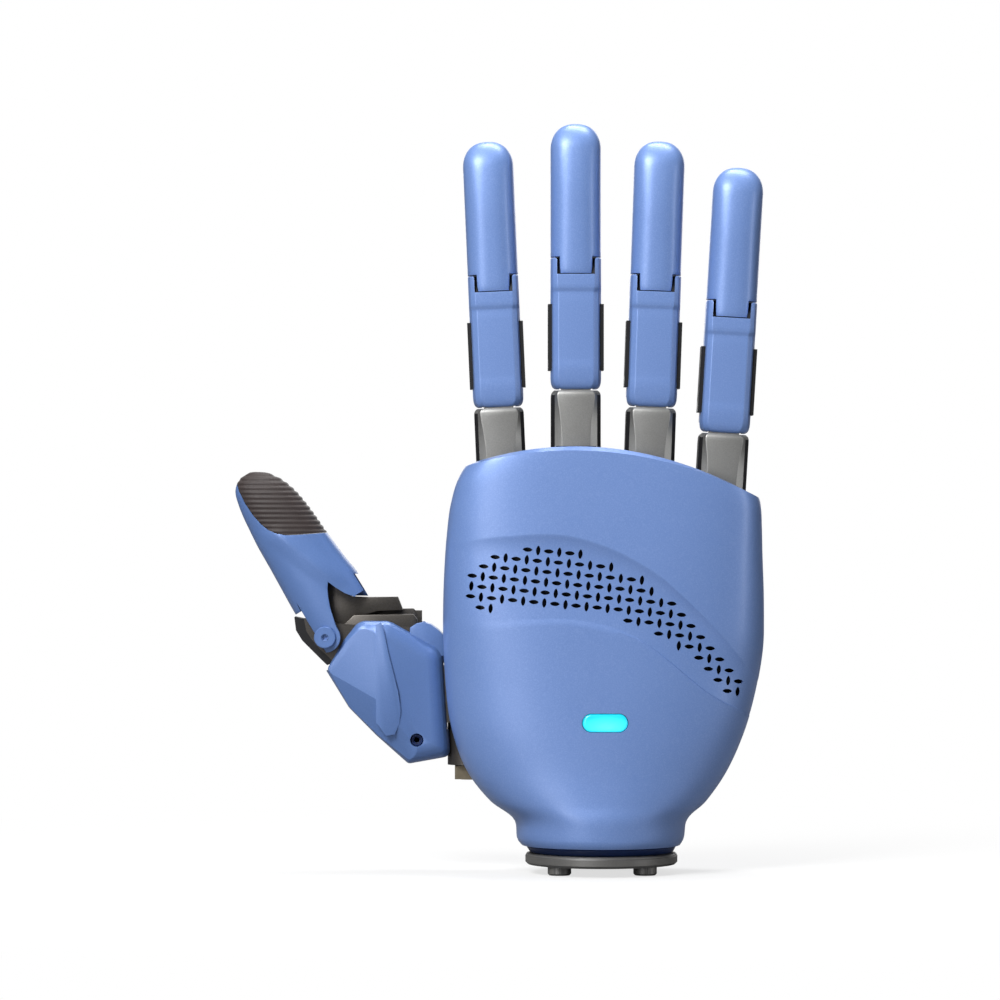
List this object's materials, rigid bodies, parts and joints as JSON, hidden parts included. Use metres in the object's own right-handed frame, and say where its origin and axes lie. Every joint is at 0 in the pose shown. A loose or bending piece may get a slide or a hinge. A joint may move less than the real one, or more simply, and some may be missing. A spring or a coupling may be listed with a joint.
{
  "type": "dexterous robot hand",
  "caption": "Right-hand robot hand with four two-joint fingers, a turning thumb, a vented blue housing and a bolted wrist flange.",
  "frame": {"origin": "centre of the wrist flange's underside", "axes": "+Z from the wrist to the fingertips, -Y towards the back of the hand, +X towards the little finger"},
  "size_m": [0.1591, 0.0468, 0.2243],
  "materials": {
    "cover_blue": "satin",
    "frame_black": "satin",
    "knuckle_metal": "satin",
    "pin_steel": "satin",
    "flange_metal": "satin",
    "grip_rubber": "matte",
    "light_cyan": "gloss",
    "board_green": "gloss",
    "drive_metal": "satin"
  },
  "bodies": {
    "palm": {"wrist_flange": "flange_metal", "mounting_studs": "flange_metal", "wrist_collar": "frame_black", "wrist_connector": "frame_black", "palm_frame": "frame_black", "dorsal_cover": "cover_blue", "palmar_cover": "cover_blue", "palm_pad": "grip_rubber", "light_window": "light_cyan", "light_board": "board_green", "control_board": "board_green", "finger_drives": "drive_metal", "thumb_drive": "drive_metal", "cover_screws": "pin_steel", "index_knuckle": "knuckle_metal", "middle_knuckle": "knuckle_metal", "ring_knuckle": "knuckle_metal", "little_knuckle": "knuckle_metal", "thumb_shaft": "pin_steel"},
    "index_link": {"index_base_pin": "pin_steel", "index_link_frame": "frame_black", "index_link_cover": "cover_blue", "index_tip_pin": "pin_steel"},
    "index_tip": {"index_tip_core": "knuckle_metal", "index_tip_shell": "cover_blue", "index_tip_pad": "grip_rubber"},
    "middle_link": {"middle_base_pin": "pin_steel", "middle_link_frame": "frame_black", "middle_link_cover": "cover_blue", "middle_tip_pin": "pin_steel"},
    "middle_tip": {"middle_tip_core": "knuckle_metal", "middle_tip_shell": "cover_blue", "middle_tip_pad": "grip_rubber"},
    "ring_link": {"ring_base_pin": "pin_steel", "ring_link_frame": "frame_black", "ring_link_cover": "cover_blue", "ring_tip_pin": "pin_steel"},
    "ring_tip": {"ring_tip_core": "knuckle_metal", "ring_tip_shell": "cover_blue", "ring_tip_pad": "grip_rubber"},
    "little_link": {"little_base_pin": "pin_steel", "little_link_frame": "frame_black", "little_link_cover": "cover_blue", "little_tip_pin": "pin_steel"},
    "little_tip": {"little_tip_core": "knuckle_metal", "little_tip_shell": "cover_blue", "little_tip_pad": "grip_rubber"},
    "thumb_base": {"thumb_frame": "frame_black", "thumb_front_cover": "cover_blue", "thumb_back_cover": "cover_blue", "thumb_base_cap": "cover_blue", "thumb_screw": "pin_steel", "thumb_bumper": "grip_rubber"},
    "thumb_tip": {"thumb_crank": "knuckle_metal", "thumb_tip_pin": "cover_blue", "thumb_tip_shell": "cover_blue", "thumb_tip_pad": "grip_rubber"}
  },
  "joints": [
    {"name": "index_bend", "type": "hinge", "parent": "palm", "child": "index_link", "pos_m": [-0.03113, 0, 0.14429], "axis": [-0.999, 0, -0.0436], "range_deg": [0, 88]},
    {"name": "index_tip_bend", "type": "hinge", "parent": "index_link", "child": "index_tip", "pos_m": [-0.03223, 0, 0.16957], "axis": [-0.999, 0, -0.0436], "range_deg": [0, 80]},
    {"name": "middle_bend", "type": "hinge", "parent": "palm", "child": "middle_link", "pos_m": [-0.0077, 0, 0.1496], "axis": [-1, 0, 0], "range_deg": [0, 88]},
    {"name": "middle_tip_bend", "type": "hinge", "parent": "middle_link", "child": "middle_tip", "pos_m": [-0.0077, 0, 0.1749], "axis": [-1, 0, 0], "range_deg": [0, 80]},
    {"name": "ring_bend", "type": "hinge", "parent": "palm", "child": "ring_link", "pos_m": [0.01516, 0, 0.14439], "axis": [-0.9994, 0, 0.0349], "range_deg": [0, 88]},
    {"name": "ring_tip_bend", "type": "hinge", "parent": "ring_link", "child": "ring_tip", "pos_m": [0.01605, 0, 0.16968], "axis": [-0.9994, 0, 0.0349], "range_deg": [0, 80]},
    {"name": "little_bend", "type": "hinge", "parent": "palm", "child": "little_link", "pos_m": [0.03714, 0, 0.13659], "axis": [-0.9982, 0, 0.0593], "range_deg": [0, 88]},
    {"name": "little_tip_bend", "type": "hinge", "parent": "little_link", "child": "little_tip", "pos_m": [0.03864, 0, 0.16184], "axis": [-0.9982, 0, 0.0593], "range_deg": [0, 80]},
    {"name": "thumb_rotate", "type": "hinge", "parent": "palm", "child": "thumb_base", "pos_m": [-0.04, 0.0092, 0.05], "axis": [0, 0, 1], "range_deg": [-90, 0]},
    {"name": "thumb_bend", "type": "hinge", "parent": "thumb_base", "child": "thumb_tip", "pos_m": [-0.083, 0.0092, 0.0677], "axis": [0, 1, 0], "range_deg": [0, 22]}
  ],
  "couplings": [
    {"joint": "index_tip_bend", "follows": "index_bend", "ratio": 0.9},
    {"joint": "middle_tip_bend", "follows": "middle_bend", "ratio": 0.9},
    {"joint": "ring_tip_bend", "follows": "ring_bend", "ratio": 0.9},
    {"joint": "little_tip_bend", "follows": "little_bend", "ratio": 0.9}
  ]
}
